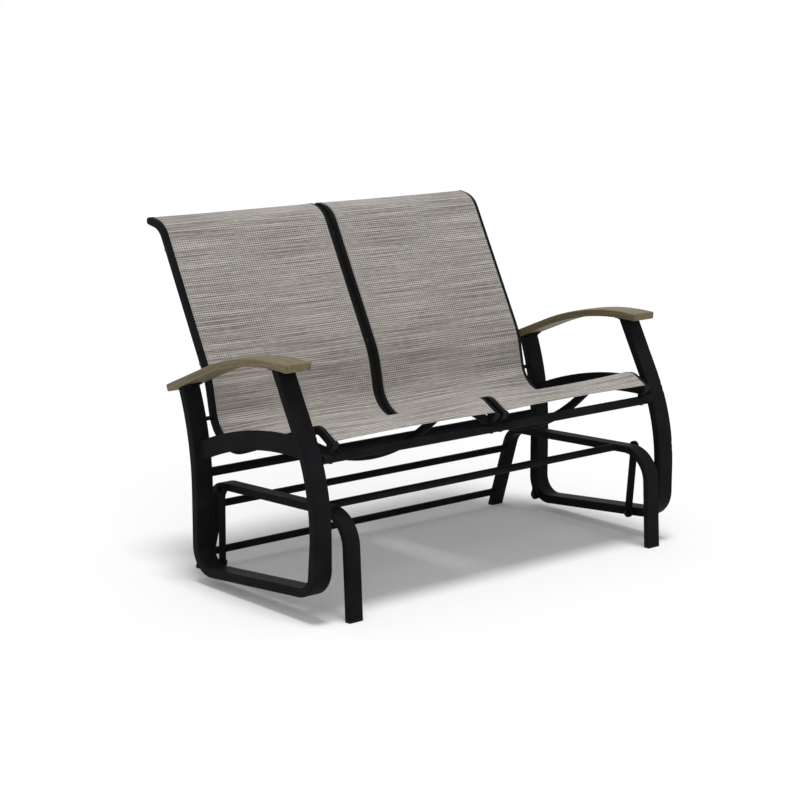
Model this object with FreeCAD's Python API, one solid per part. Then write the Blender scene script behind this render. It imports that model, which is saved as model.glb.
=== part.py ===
"""Two-seat glider bench with sling seats, as separate pieces, in millimetres.

X runs along the bench, -Y is the side that people face, and +Z is up. Left and right are as
seen by someone who stands in front of the bench. Heights are measured from the floor. Places
along Y are measured from the middle between the front and rear feet. The last step moves
every piece so that the origin lies on the floor under the middle of the whole bench.
"""
import FreeCAD, Part
import math
import os

# Place of the origin: how far the middle of the whole depth lies behind the middle of the feet
ORIGIN_BACK = 93.9

# Widths along X
UNIT_PITCH = 524.5  # middle of one side rail to the middle of the other, in each seat
CENTRE_GAP = 12.0  # between the two seats
POST_GAP = 22.0  # between an outer seat rail and the arm frame
LINK_GAP = 26.7  # between the arm frame and the base frame, where the links hang

# Seat rail: an extruded section with a channel for the sling's edge
RAIL_W = 19.0
RAIL_D = 21.0
RAIL_CORNER = 4.0
RAIL_WALL = 2.0
SLOT_INSIDE = 4.0  # slot's distance from the rail's middle, towards the sling
SLOT_W = 2.4
SLOT_DEEP = 3.0
CHANNEL_R = 2.6
HEAD = (443.5, 900.7)  # corners of the rail's front face in the side view, as (y, z)
LUMBAR = (243.4, 519.9)
SEAT_BACK = (206.1, 333.4)
SEAT_FRONT = (-208.0, 471.7)
TIP_REACH = (54.5, 10.0)  # the rail's top end from its highest corner
HEM_REACH = (-60.0, -34.6)  # and its front end from its foremost corner
RAIL_BENDS = [70.0, 250.0, 89.0, 45.0]
RAIL_PLUG = 10.0  # length of an end cap's plug inside the rail
RAIL_FIT = 0.2
CAP_T = 3.0
HOLLOW_CORNER = 1.0

# Sling
SLING_T = 1.4
SLING_LIFT = 0.3  # between the sling and the rail's front face
SLING_END = 5.0  # the sling stops this far short of the rail's ends
SPLINE_R = 2.2

# Spreaders between the rails of each seat
SEAT_SPREADER_R = 11.5
BACK_SPREADER_R = 9.5
SPREADER_WALL = 1.6
SPREADER_PLUG = 10.0  # solid end that takes the screw
SPREADER_DEPTH = 15.0  # the spreader's ends lie this far behind the rail's front face
SEAT_SPREADER_Y = -80.0
SEAT_BOW = 78.0  # how far the seat spreader's middle lies under its ends
BACK_SPREADERS = {"upper": (60.7, 26.0), "lower": (340.7, 34.0)}  # drop under HEAD, and bow
BOW_SHAPE = 1.75  # depth of the bow's drawn corner over the bow itself
BOW_END = 19.0  # straight stretch at each end
BOW_END_BEND = 60.0
SPREADER_SCREW_R = 3.0
SPREADER_HEAD_R = 5.5
SPREADER_HEAD_T = 1.5  # the flat head lies flush in the rail's wall

# Arm frame: one bent tube, a brace and an armrest on each side
ARM_TUBE_W = 53.0
ARM_TUBE_D = 24.0
ARM_CORNER = 4.0
ARM_WALL = 2.0
REAR_POST_Y = 209.0
REAR_POST_BEND_Z = 240.0  # the rear post leans back above this height
REAR_POST_BEND = 705.0
FRONT_POST_Y = -279.5
FRONT_POST_BEND_Z = 215.0  # the front post leans back above this height
FRONT_POST_BEND = 500.0
FRONT_POST_LEAN = 28.5
ARM_BAR_Z = 50.5  # bottom bar's height under the middle of the feet
ARM_BAR_SLOPE = -0.0895
REAR_CORNER_BEND = 60.0
FRONT_CORNER_BEND = 66.0
BRACE_T = 19.0
BRACE_H = 48.0
BRACE_CORNER = 4.0
BRACE_BEND = 952.0
BRACE_TOP_Y = -170.0
BRACE_TOP_Z = 421.5

# Armrest
ARMREST_OUT = 10.5  # past the post's outer face
ARMREST_IN = 15.0  # past the post's inner face
ARMREST_T = 20.0
ARMREST_BEND = 774.0
ARMREST_TOP_Y = -140.0
ARMREST_TOP_Z = 627.0
ARMREST_FRONT_Y = -198.0
ARMREST_SLOPE = 22.0  # slope of the rear part, degrees
ARMREST_TAIL = 174.8  # length of the straight rear part
ARMREST_EDGE = 3.0
PLATE_T = 4.5
PLATE_W = 44.0
PLATE_LAP = 4.0  # the plate reaches this far past the post
PLATE_TAB = 18.0  # and this far where its screws go
SCREW_R = 2.5
SCREW_HEAD_R = 5.0
SCREW_HEAD_T = 3.0
SCREW_GRIP = 12.0  # length inside the armrest
SCREW_PITCH = 26.0

# Cross beams between the arm frames
FRONT_BEAM_R = 12.0
FRONT_BEAM_Y = -250.0
FRONT_BEAM_Z = 396.6
REAR_BEAM_R = 12.0
REAR_BEAM_Z = 283.5
BEAM_WALL = 2.0
LUG_W = 14.0
LUG_D = 14.0
LUG_BACK = 4.0  # behind the beam's middle, which keeps its bolt clear of the rail's end cap

# Base: two end frames and three stretchers
BASE_TUBE_W = 43.0
BASE_TUBE_D = 19.0
BASE_CORNER = 3.0
BASE_WALL = 2.0
BASE_BAR_Z = 251.2  # top bar's height over the middle of the feet
BASE_BAR_SLOPE = -0.039
FRONT_FOOT_Y = -313.0
FRONT_LEG_SLOPE = 0.0521  # rearward travel per unit of height
REAR_FOOT_Y = 315.5
REAR_LEG_SLOPE = -0.314
FRONT_KNEE_BEND = 82.0
REAR_KNEE_BEND = 62.0
FOOT_T = 6.0
FOOT_PLUG = 16.0
FOOT_FIT = 0.2
STRETCHER_R = 10.0
STRETCHER_WALL = 1.6
FRONT_STRETCHER_Y = -178.0
REAR_STRETCHER_Z = [180.8, 42.1]

# Links and their pivots
LINK_W = 20.0
LINK_T = 8.0
LINK_EYE_R = 14.0
BUSH_R = 7.0
BUSH_FLANGE_R = 9.5
BUSH_FLANGE_T = 1.2
PIVOT_R = 4.0
PIVOT_FIT = 0.05  # running clearance of a hinge pin
OPEN_FIT = 1.0  # clearance of the pins that close the linkage
SIDE_PLAY = 0.2
PIVOT_SPACER_R = 7.5
WASHER_R = 8.5
WASHER_T = 1.2
PIVOT_HEAD_T = 4.5
PIVOT_HEAD_R = 6.5
INSERT_R = 5.5
INSERT_L = 14.0
FRONT_TOP_Y = -207.0
FRONT_LOW_Y = -190.0
REAR_TOP_Y = 180.0
REAR_LOW_TURN = 33.4  # the rear low pivot's place around the arm frame's corner, degrees

# Bolts that hold the rails
RAIL_BOLT_R = 2.5
RAIL_HEAD_R = 5.0
RAIL_HEAD_T = 3.5
RAIL_SPACER_R = 5.5
RAIL_BOLT_Z = 418.5
RAIL_BOLT_BACK = 2.1  # behind the rear post's middle
POST_INSERT_R = 4.0
JOIN_Y = -150.0  # front bolt between the two middle rails
JOIN_DEPTH = 11.5  # behind the rails' front face
LUG_BOLT_TIP = 8.0  # the lug bolt's reach into the rail
SPOT_DEEP = 1.0  # flat under the front beam for the lug bolt's head

FAR = 3000.0

# Places that follow from the sizes above
TIP = (HEAD[0] + TIP_REACH[0], HEAD[1] + TIP_REACH[1])
HEM = (SEAT_FRONT[0] + HEM_REACH[0], SEAT_FRONT[1] + HEM_REACH[1])
RAIL_CURVE = [TIP, HEAD, LUMBAR, SEAT_BACK, SEAT_FRONT, HEM]
RAIL_IN_X = CENTRE_GAP / 2 + RAIL_W / 2
RAIL_OUT_X = RAIL_IN_X + UNIT_PITCH
POST_IN_X = RAIL_OUT_X + RAIL_W / 2 + POST_GAP
POST_MID_X = POST_IN_X + ARM_TUBE_W / 2
POST_OUT_X = POST_IN_X + ARM_TUBE_W
BASE_OUT_X = POST_IN_X - LINK_GAP
BASE_IN_X = BASE_OUT_X - BASE_TUBE_W
BASE_MID_X = BASE_OUT_X - BASE_TUBE_W / 2
LINK_X = BASE_OUT_X + LINK_GAP / 2
LEFT, RIGHT = -1, 1
SIDES = {"left": LEFT, "right": RIGHT}


def vec(x, y, z):
    """A point or direction."""
    return FreeCAD.Vector(x, y, z)


def rounded_path(corners, radii):
    """Line through 3-D corners, with an arc of the given radius at each inner one."""
    edges = []
    start = corners[0]
    for i, radius in enumerate(radii):
        corner = corners[i + 1]
        back = (corners[i] - corner).normalize()
        ahead = (corners[i + 2] - corner).normalize()
        half = back.getAngle(ahead) / 2
        reach = radius / math.tan(half)
        first = corner + back * reach
        last = corner + ahead * reach
        middle = corner + (back + ahead).normalize() * (radius / math.sin(half) - radius)
        edges.append(Part.LineSegment(start, first).toShape())
        edges.append(Part.Arc(first, middle, last).toShape())
        start = last
    edges.append(Part.LineSegment(start, corners[-1]).toShape())
    return Part.Wire(edges)


def side_path(corners, radii, x=0.0):
    """The same line from (y, z) corners in the side view, at one x."""
    return rounded_path([vec(x, y, z) for y, z in corners], radii)


def rectangle(at, across, up, wide, deep, corner):
    """Closed wire of a rectangle, wide along across and deep along up, with round corners."""
    arcs = []
    for sx, sy in ((-1, -1), (1, -1), (1, 1), (-1, 1)):
        outer = at + across * (sx * wide / 2) + up * (sy * deep / 2)
        beside = outer - across * (sx * corner)
        above = outer - up * (sy * corner)
        middle = outer - (across * sx + up * sy) * (corner * (1 - math.sqrt(0.5)))
        arcs.append((beside, middle, above) if sx * sy < 0 else (above, middle, beside))
    edges = []
    for i, (first, middle, last) in enumerate(arcs):
        edges.append(Part.Arc(first, middle, last).toShape())
        edges.append(Part.LineSegment(last, arcs[(i + 1) % len(arcs)][0]).toShape())
    return Part.Wire(edges)


def station(path, depth=0.0, shift=0.0):
    """Start of a side-view path, its direction and its front normal.

    depth moves the point behind the path's front side, and shift moves it along X.
    """
    edge = path.Edges[0]
    along = edge.tangentAt(edge.FirstParameter)
    normal = vec(0, along.z, -along.y)
    at = edge.valueAt(edge.FirstParameter) - normal * depth + vec(shift, 0, 0)
    return at, along, normal


def sweep(path, profile, across=None):
    """Solid of a closed profile carried along a flat path; across is its plane's normal."""
    maker = Part.BRepOffsetAPI.MakePipeShell(path)
    maker.setBiNormalMode(across or vec(1, 0, 0))
    maker.add(profile)
    maker.build()
    maker.makeSolid()
    solid = maker.shape()
    if solid.Volume < 0:
        solid.reverse()
    return solid


def bar_along(path, wide, deep, corner, depth=0.0, shift=0.0):
    """Solid rectangular bar along a side-view path."""
    at, _along, normal = station(path, depth, shift)
    return sweep(path, rectangle(at, vec(1, 0, 0), normal, wide, deep, corner))


def tube_along(path, wide, deep, corner, wall):
    """Bent rectangular tube, and the same bar without its bore."""
    full = bar_along(path, wide, deep, corner)
    bore = bar_along(path, wide - 2 * wall, deep - 2 * wall, corner / 2)
    return full.cut(bore), full


def rod_along(path, radius, across=None, depth=0.0, shift=0.0):
    """Round rod along a flat path."""
    edge = path.Edges[0]
    at, along, _normal = station(path, depth, shift)
    if across:
        at = edge.valueAt(edge.FirstParameter)
    circle = Part.Circle(at, along, radius)
    return sweep(path, Part.Wire(circle.toShape()), across)


def cylinder_x(x0, x1, y, z, radius):
    """Cylinder along X from x0 to x1."""
    low, high = min(x0, x1), max(x0, x1)
    return Part.makeCylinder(radius, high - low, vec(low, y, z), vec(1, 0, 0))


def hex_head_x(x0, x1, y, z, radius):
    """Hexagon bolt head along X from x0 to x1; radius is half its width across flats."""
    low, high = min(x0, x1), max(x0, x1)
    reach = radius / math.cos(math.pi / 6)
    corners = []
    for i in range(7):
        turn = math.pi / 3 * i
        corners.append(vec(low, y + reach * math.cos(turn), z + reach * math.sin(turn)))
    return Part.Face(Part.makePolygon(corners)).extrude(vec(high - low, 0, 0))


def box(x0, x1, y0, y1, z0, z1):
    """Box between two corners."""
    return Part.makeBox(x1 - x0, y1 - y0, z1 - z0, vec(x0, y0, z0))


def mirrored(shape, side):
    """The shape as drawn on the right side, or its mirror image on the left."""
    if side == RIGHT:
        return shape
    return shape.mirror(vec(0, 0, 0), vec(1, 0, 0))


def save(name, shapes):
    """Write one piece, or a group of like pieces, to its STEP file."""
    solids = []
    for shape in shapes:
        solids.extend(shape.Solids)
    whole = solids[0].copy() if len(solids) == 1 else Part.makeCompound(solids)
    whole.translate(vec(0, -ORIGIN_BACK, 0))
    whole.exportStep(os.path.join("parts", name + ".step"))
    volume = sum(solid.Volume for solid in solids)
    valid = all(solid.isValid() for solid in solids)
    print(f"{name}: {len(solids)} solid(s), {volume / 1000:.1f} cm3, valid {valid}")


def save_sides(name, shape):
    """Write a piece of the right side and its mirror image as two nodes."""
    for word, side in SIDES.items():
        save(f"{name}_{word}", [mirrored(shape, side)])


def save_pairs(name, shapes):
    """Write pieces of the right side together with their mirror images as one node."""
    both = []
    for side in (LEFT, RIGHT):
        both.extend(mirrored(shape, side) for shape in shapes)
    save(name, both)


def meet(point_a, slope_a, point_b, slope_b):
    """Where two lines of a side view cross; a slope is travel along Y per unit of height."""
    ya, za = point_a
    yb, zb = point_b
    z = (yb - ya + slope_a * za - slope_b * zb) / (slope_a - slope_b)
    return ya + slope_a * (z - za), z


def base_bar_z(y):
    """Height of the base's top bar."""
    return BASE_BAR_Z + BASE_BAR_SLOPE * y


def arm_bar_z(y):
    """Height of the arm frame's bottom bar."""
    return ARM_BAR_Z + ARM_BAR_SLOPE * y


def rear_leg_y(z):
    """Place of the base's rear leg at a height."""
    return REAR_FOOT_Y + REAR_LEG_SLOPE * z


def bolt_x(x_seat, x_tip, y, z, shank, head_r, head_t):
    """Hexagon bolt along X: its head stands on x_seat and its shank runs to x_tip."""
    way = 1 if x_tip > x_seat else -1
    head = hex_head_x(x_seat - way * head_t, x_seat, y, z, head_r)
    return head.fuse(cylinder_x(x_seat, x_tip, y, z, shank))


def ring_x(x0, x1, y, z, outer, inner):
    """Ring along X."""
    return cylinder_x(x0, x1, y, z, outer).cut(cylinder_x(x0, x1, y, z, inner))


def rear_post_y(z):
    """Middle of the rear post at a height."""
    rise = max(z - REAR_POST_BEND_Z, 0.0)
    return REAR_POST_Y + REAR_POST_BEND - math.sqrt(REAR_POST_BEND ** 2 - rise ** 2)


def make_pivots():
    """The four link pivots of one side, as (y, z) of the top and of the low pin."""
    low_corner = meet((0, arm_bar_z(0)), 1 / ARM_BAR_SLOPE, (REAR_POST_Y, 0), 0.0)
    slope = math.atan(-ARM_BAR_SLOPE)
    centre_y = REAR_POST_Y - REAR_CORNER_BEND
    centre_z = low_corner[1] + REAR_CORNER_BEND * math.tan((math.pi / 2 + slope) / 2)
    turn = math.radians(REAR_LOW_TURN)
    reach = REAR_CORNER_BEND
    rear_low = (centre_y + reach * math.sin(turn), centre_z - reach * math.cos(turn))
    return {
        "front": ((FRONT_TOP_Y, base_bar_z(FRONT_TOP_Y)), (FRONT_LOW_Y, arm_bar_z(FRONT_LOW_Y))),
        "rear": ((REAR_TOP_Y, base_bar_z(REAR_TOP_Y)), rear_low),
    }


def make_base(pivots):
    """End frames, feet and stretchers."""
    front_knee = meet((FRONT_FOOT_Y, 0), FRONT_LEG_SLOPE, (0, base_bar_z(0)), 1 / BASE_BAR_SLOPE)
    rear_knee = meet((REAR_FOOT_Y, 0), REAR_LEG_SLOPE, (0, base_bar_z(0)), 1 / BASE_BAR_SLOPE)
    below = -2 * BASE_TUBE_D
    corners = [
        (FRONT_FOOT_Y + FRONT_LEG_SLOPE * below, below),
        front_knee,
        rear_knee,
        (rear_leg_y(below), below),
    ]
    path = side_path(corners, [FRONT_KNEE_BEND, REAR_KNEE_BEND], BASE_MID_X)
    frame, full = tube_along(path, BASE_TUBE_W, BASE_TUBE_D, BASE_CORNER, BASE_WALL)
    frame = frame.cut(box(-FAR, FAR, -FAR, FAR, -FAR, FOOT_T))
    for (y, z), _low in pivots.values():
        frame = frame.cut(cylinder_x(BASE_MID_X, BASE_OUT_X + BASE_WALL, y, z, INSERT_R))
    save_sides("base_end_frame", frame)

    plug_gap = 2 * (BASE_WALL + FOOT_FIT)
    plug = bar_along(path, BASE_TUBE_W - plug_gap, BASE_TUBE_D - plug_gap, BASE_CORNER / 2)
    feet = full.common(box(-FAR, FAR, -FAR, FAR, 0, FOOT_T))
    feet = feet.fuse(plug.common(box(-FAR, FAR, -FAR, FAR, 0, FOOT_T + FOOT_PLUG)))
    save_pairs("foot_caps", [feet])

    stretchers = {"base_stretcher_front": (FRONT_STRETCHER_Y, base_bar_z(FRONT_STRETCHER_Y))}
    for word, z in zip(("upper", "lower"), REAR_STRETCHER_Z):
        stretchers[f"base_stretcher_rear_{word}"] = (rear_leg_y(z), z)
    for name, (y, z) in stretchers.items():
        save(name, [ring_x(-BASE_IN_X, BASE_IN_X, y, z, STRETCHER_R, STRETCHER_R - STRETCHER_WALL)])


def make_links(pivots):
    """The four links and the bushes in their eyes."""
    half = LINK_T / 2
    for row, (top, low) in pivots.items():
        along = vec(0, top[0] - low[0], top[1] - low[1])
        up = along.normalize()
        side = vec(0, up.z, -up.y)
        corners = []
        for end, way in ((low, -1), (low, 1), (top, 1), (top, -1), (low, -1)):
            corners.append(vec(LINK_X - half, *end) + side * (way * LINK_W / 2))
        link = Part.Face(Part.makePolygon(corners)).extrude(vec(LINK_T, 0, 0))
        for end in (top, low):
            link = link.fuse(cylinder_x(LINK_X - half, LINK_X + half, *end, LINK_EYE_R))
        for end in (top, low):
            link = link.cut(cylinder_x(LINK_X - half, LINK_X + half, *end, BUSH_R))
        link = link.removeSplitter()
        for word, hand in SIDES.items():
            save(f"glide_link_{row}_{word}", [mirrored(link, hand)])
            bushes = []
            for end in (top, low):
                driven = end is top or (row == "front" and word == "left")
                bore = PIVOT_R + (PIVOT_FIT if driven else OPEN_FIT)
                for way in (-1, 1):
                    body = cylinder_x(LINK_X, LINK_X + way * half, *end, BUSH_R)
                    edge = LINK_X + way * half
                    flange = cylinder_x(edge, edge + way * BUSH_FLANGE_T, *end, BUSH_FLANGE_R)
                    hole = cylinder_x(LINK_X - LINK_T, LINK_X + LINK_T, *end, bore)
                    bushes.append(mirrored(body.fuse(flange).cut(hole), hand))
            save(f"link_bushes_{row}_{word}", bushes)


def make_pivot_hardware(name, ends, x_wall, way):
    """Inserts, spacers, washers and bolts of two pivots; way points from the tube to the link."""
    stack = LINK_T / 2 + BUSH_FLANGE_T + SIDE_PLAY
    near = LINK_X - way * stack
    far = LINK_X + way * stack
    inserts, spacers, washers, bolts = [], [], [], []
    for y, z in ends:
        inserts.append(ring_x(x_wall - way * INSERT_L, x_wall, y, z, INSERT_R, PIVOT_R))
        spacers.append(ring_x(x_wall, near, y, z, PIVOT_SPACER_R, PIVOT_R))
        washers.append(ring_x(far, far + way * WASHER_T, y, z, WASHER_R, PIVOT_R))
        seat = far + way * WASHER_T
        bolts.append(bolt_x(seat, x_wall - way * INSERT_L, y, z, PIVOT_R, PIVOT_HEAD_R, PIVOT_HEAD_T))
    save_pairs(f"{name}_pivot_inserts", inserts)
    save_pairs(f"{name}_pivot_spacers", spacers)
    save_pairs(f"{name}_pivot_washers", washers)
    save_pairs(f"{name}_pivot_bolts", bolts)


def armrest_arc(radius, turn):
    """Point of an arc about the armrest's centre; turn is the angle behind its top, radians."""
    centre_z = ARMREST_TOP_Z - ARMREST_BEND
    return vec(0, ARMREST_TOP_Y + radius * math.sin(turn), centre_z + radius * math.cos(turn))


def arc_slab(depth0, depth1, turn0, turn1, x0, x1):
    """Slab between two depths under the armrest's curved top."""
    middle = (turn0 + turn1) / 2
    top = [armrest_arc(ARMREST_BEND - depth0, turn) for turn in (turn0, middle, turn1)]
    low = [armrest_arc(ARMREST_BEND - depth1, turn) for turn in (turn1, middle, turn0)]
    edges = [Part.Arc(*top).toShape(), Part.LineSegment(top[2], low[0]).toShape()]
    edges += [Part.Arc(*low).toShape(), Part.LineSegment(low[2], top[0]).toShape()]
    wire = Part.Wire(edges)
    wire.translate(vec(x0, 0, 0))
    return Part.Face(wire).extrude(vec(x1 - x0, 0, 0))


def tail_slab(depth0, depth1, place0, place1, x0, x1):
    """Slab between two depths under the armrest's straight rear part."""
    slope = math.radians(ARMREST_SLOPE)
    tail = vec(0, math.cos(slope), -math.sin(slope))
    top = armrest_arc(ARMREST_BEND - depth0, slope)
    low = armrest_arc(ARMREST_BEND - depth1, slope)
    corners = [top + tail * place0, top + tail * place1, low + tail * place1, low + tail * place0]
    wire = Part.makePolygon(corners + corners[:1])
    wire.translate(vec(x0, 0, 0))
    return Part.Face(wire).extrude(vec(x1 - x0, 0, 0))


def arm_path():
    """Middle line of the arm frame's tube, from over the rear post to over the front post."""
    lean = math.radians(FRONT_POST_LEAN)
    past = ARMREST_TOP_Z + ARM_TUBE_D
    front_end = (
        FRONT_POST_Y + FRONT_POST_BEND * (1 - math.cos(lean)),
        FRONT_POST_BEND_Z + FRONT_POST_BEND * math.sin(lean),
    )
    front_top = (front_end[0] + (past - front_end[1]) * math.tan(lean), past)
    turn = math.asin((ARMREST_TOP_Z - REAR_POST_BEND_Z) / REAR_POST_BEND)
    rear_end = (rear_post_y(ARMREST_TOP_Z), ARMREST_TOP_Z)
    rear_top = (rear_end[0] + ARM_TUBE_D * math.tan(turn), past)
    bar = ((0, arm_bar_z(0)), 1 / ARM_BAR_SLOPE)
    corners = [
        rear_top,
        meet((REAR_POST_Y, 0), 0.0, rear_end, math.tan(turn)),
        meet((REAR_POST_Y, 0), 0.0, *bar),
        meet((FRONT_POST_Y, 0), 0.0, *bar),
        meet((FRONT_POST_Y, 0), 0.0, front_end, math.tan(lean)),
        front_top,
    ]
    bends = [REAR_POST_BEND, REAR_CORNER_BEND, FRONT_CORNER_BEND, FRONT_POST_BEND]
    return side_path(corners, bends, POST_MID_X)


def make_arm_frames(pivots):
    """Arm tubes and braces; returns the space that the tube fills."""
    slope = math.radians(ARMREST_SLOPE)
    under = ARMREST_T + PLATE_T
    tube, full = tube_along(arm_path(), ARM_TUBE_W, ARM_TUBE_D, ARM_CORNER, ARM_WALL)
    for above in (
        arc_slab(-FAR, under, -slope, slope, -FAR, FAR),
        tail_slab(-FAR, under, 0, FAR, -FAR, FAR),
    ):
        tube = tube.cut(above)
        full = full.cut(above)
    for _top, (y, z) in pivots.values():
        tube = tube.cut(cylinder_x(POST_IN_X, POST_MID_X, y, z, INSERT_R))
    y, z = rail_bolt_place()
    tube = tube.cut(cylinder_x(POST_IN_X, POST_MID_X, y, z, POST_INSERT_R))
    save_sides("arm_frame", tube)

    centre_z = BRACE_TOP_Z - BRACE_BEND
    ends = []
    for y in (REAR_POST_Y, BRACE_TOP_Y, FRONT_POST_Y + ARM_TUBE_D):
        ends.append(vec(POST_MID_X, y, centre_z + math.sqrt(BRACE_BEND ** 2 - (y - BRACE_TOP_Y) ** 2)))
    path = Part.Wire(Part.Arc(*ends).toShape())
    brace, _full = tube_along(path, BRACE_T, BRACE_H, BRACE_CORNER, ARM_WALL)
    pieces = brace.cut(full).Solids
    save_sides("side_brace", max(pieces, key=lambda piece: piece.Volume))
    return full


def make_armrests(post):
    """Mounting plates on the posts, armrests and their screws."""
    x0, x1 = POST_MID_X - PLATE_W / 2, POST_MID_X + PLATE_W / 2
    slope = math.radians(ARMREST_SLOPE)
    under = ARMREST_T + PLATE_T
    radius = ARMREST_BEND - under
    foot = armrest_arc(radius, slope)
    tail = vec(0, math.cos(slope), -math.sin(slope))
    front = post.common(arc_slab(under, under + 1, -slope, slope, x0, x1)).BoundBox
    rear = post.common(tail_slab(under, under + 1, 0, FAR, x0, x1)).BoundBox
    front_turn0 = math.asin((front.YMin - ARMREST_TOP_Y) / radius) - PLATE_LAP / radius
    front_turn1 = math.asin((front.YMax - ARMREST_TOP_Y) / radius) + PLATE_TAB / radius
    rear0 = (rear.YMin - foot.y) / tail.y - PLATE_TAB
    rear1 = (rear.YMax - foot.y) / tail.y + PLATE_LAP
    front_plate = arc_slab(ARMREST_T, under, front_turn0, front_turn1, x0, x1)
    rear_plate = tail_slab(ARMREST_T, under, rear0, rear1, x0, x1)

    arm_x0, arm_x1 = POST_IN_X - ARMREST_IN, POST_OUT_X + ARMREST_OUT
    front_turn = math.asin((ARMREST_FRONT_Y - ARMREST_TOP_Y) / ARMREST_BEND)
    armrest = arc_slab(0, ARMREST_T, front_turn, slope, arm_x0, arm_x1)
    armrest = armrest.fuse(tail_slab(0, ARMREST_T, 0, ARMREST_TAIL, arm_x0, arm_x1)).removeSplitter()
    armrest = armrest.makeFillet(ARMREST_EDGE, armrest.Edges)

    front_screw = front_turn1 - PLATE_TAB / radius / 2
    places = [
        (armrest_arc(radius, front_screw), vec(0, math.sin(front_screw), math.cos(front_screw))),
        (foot + tail * (rear0 + PLATE_TAB / 2), vec(0, math.sin(slope), math.cos(slope))),
    ]
    screws = []
    for at, up in places:
        for way in (-1, 1):
            base = at + vec(POST_MID_X + way * SCREW_PITCH / 2, 0, 0)
            shank = Part.makeCylinder(SCREW_R, PLATE_T + SCREW_GRIP, base, up)
            head = Part.makeCylinder(SCREW_HEAD_R, SCREW_HEAD_T, base - up * SCREW_HEAD_T, up)
            screws.append(shank.fuse(head))
            armrest = armrest.cut(shank)
            front_plate = front_plate.cut(screws[-1])
            rear_plate = rear_plate.cut(screws[-1])
    save_sides("armrest", armrest)
    save_pairs("armrest_plates_front", [front_plate])
    save_pairs("armrest_plates_rear", [rear_plate])
    save_pairs("armrest_screws", screws)


def rail_bolt_place():
    """Place of the bolt that holds an outer rail to the rear post, as (y, z)."""
    return rear_post_y(RAIL_BOLT_Z) + RAIL_BOLT_BACK, RAIL_BOLT_Z


def rail_point(start, end, share, depth):
    """Point behind a straight stretch of the rail's front face, share of the way along it."""
    along = vec(0, end[0] - start[0], end[1] - start[1])
    normal = vec(0, along.z, -along.y).normalize()
    return vec(0, *start) + along * share - normal * depth, normal


def rail_path(short=0.0):
    """Front line of a rail in the side view, cut back by short at both ends."""
    corners = list(RAIL_CURVE)
    for end, beside in ((0, 1), (-1, -2)):
        reach = math.dist(corners[end], corners[beside])
        share = short / reach
        corners[end] = tuple(a + (b - a) * share for a, b in zip(corners[end], corners[beside]))
    return side_path(corners, RAIL_BENDS)


def end_path(end, beside, length):
    """Short straight line from an end of the rail's front face; a negative length runs outward."""
    reach = math.dist(end, beside)
    way = tuple(end[i] + (beside[i] - end[i]) * length / reach for i in range(2))
    points = [vec(0, *end), vec(0, *way)]
    if length < 0:
        points.reverse()
    if end == HEM:
        points.reverse()
    return Part.Wire(Part.LineSegment(*points).toShape())


def hollow_size():
    """Width, depth and place behind the face of the rail's hollow."""
    top = SLOT_DEEP + 2 * CHANNEL_R + RAIL_WALL
    deep = RAIL_D - RAIL_WALL - top
    return RAIL_W - 2 * RAIL_WALL, deep, top + deep / 2


def make_rail(sling_side):
    """Seat rail at x = 0 with its slot towards one side, and the space that it fills."""
    path = rail_path()
    full = bar_along(path, RAIL_W, RAIL_D, RAIL_CORNER, RAIL_D / 2)
    wide, deep, place = hollow_size()
    centre = SLOT_DEEP + CHANNEL_R
    shift = SLOT_INSIDE * sling_side
    rail = full.cut(bar_along(path, wide, deep, HOLLOW_CORNER, place))
    rail = rail.cut(rod_along(path, CHANNEL_R, depth=centre, shift=shift))
    rail = rail.cut(bar_along(path, SLOT_W, 2 * centre, SLOT_W / 4, 0, shift))
    return rail, full


def make_caps():
    """End caps of a rail at x = 0: the round one on top and the flat one in front."""
    wide, deep, place = hollow_size()
    wide, deep = wide - 2 * RAIL_FIT, deep - 2 * RAIL_FIT
    caps = []
    for end, beside, thick in ((TIP, HEAD, RAIL_D / 2), (HEM, SEAT_FRONT, CAP_T)):
        cap = bar_along(end_path(end, beside, -thick), RAIL_W, RAIL_D, RAIL_CORNER, RAIL_D / 2)
        if end == TIP:
            middle, _normal = rail_point(TIP, HEAD, 0.0, RAIL_D / 2)
            cap = cap.common(cylinder_x(-RAIL_W, RAIL_W, middle.y, middle.z, RAIL_D / 2))
        plug = bar_along(end_path(end, beside, RAIL_PLUG), wide, deep, HOLLOW_CORNER, place)
        caps.append(cap.fuse(plug))
    return caps


def bow_path(first, last, down, drop):
    """Line of a spreader between two rails that bows by drop along down."""
    across = (last - first).normalize()
    middle = (first + last) / 2 + down * (drop * BOW_SHAPE)
    near, far = first + across * BOW_END, last - across * BOW_END
    half = (middle - near).getAngle(across)
    bend = drop * (BOW_SHAPE - 1) / (1 / math.cos(half) - 1)
    return rounded_path([first, near, middle, far, last], [BOW_END_BEND, bend, BOW_END_BEND])


def trimmed(path, length):
    """A path whose straight first and last stretches are shorter by length."""
    edges = list(path.Edges)
    for place, keep in ((0, 1), (-1, 0)):
        edge = edges[place]
        ends = [edge.valueAt(edge.FirstParameter), edge.valueAt(edge.LastParameter)]
        moving = 1 - keep
        toward = (ends[keep] - ends[moving]).normalize()
        ends[moving] = ends[moving] + toward * length
        edges[place] = Part.LineSegment(*ends).toShape()
    return Part.Wire(edges)


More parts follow.
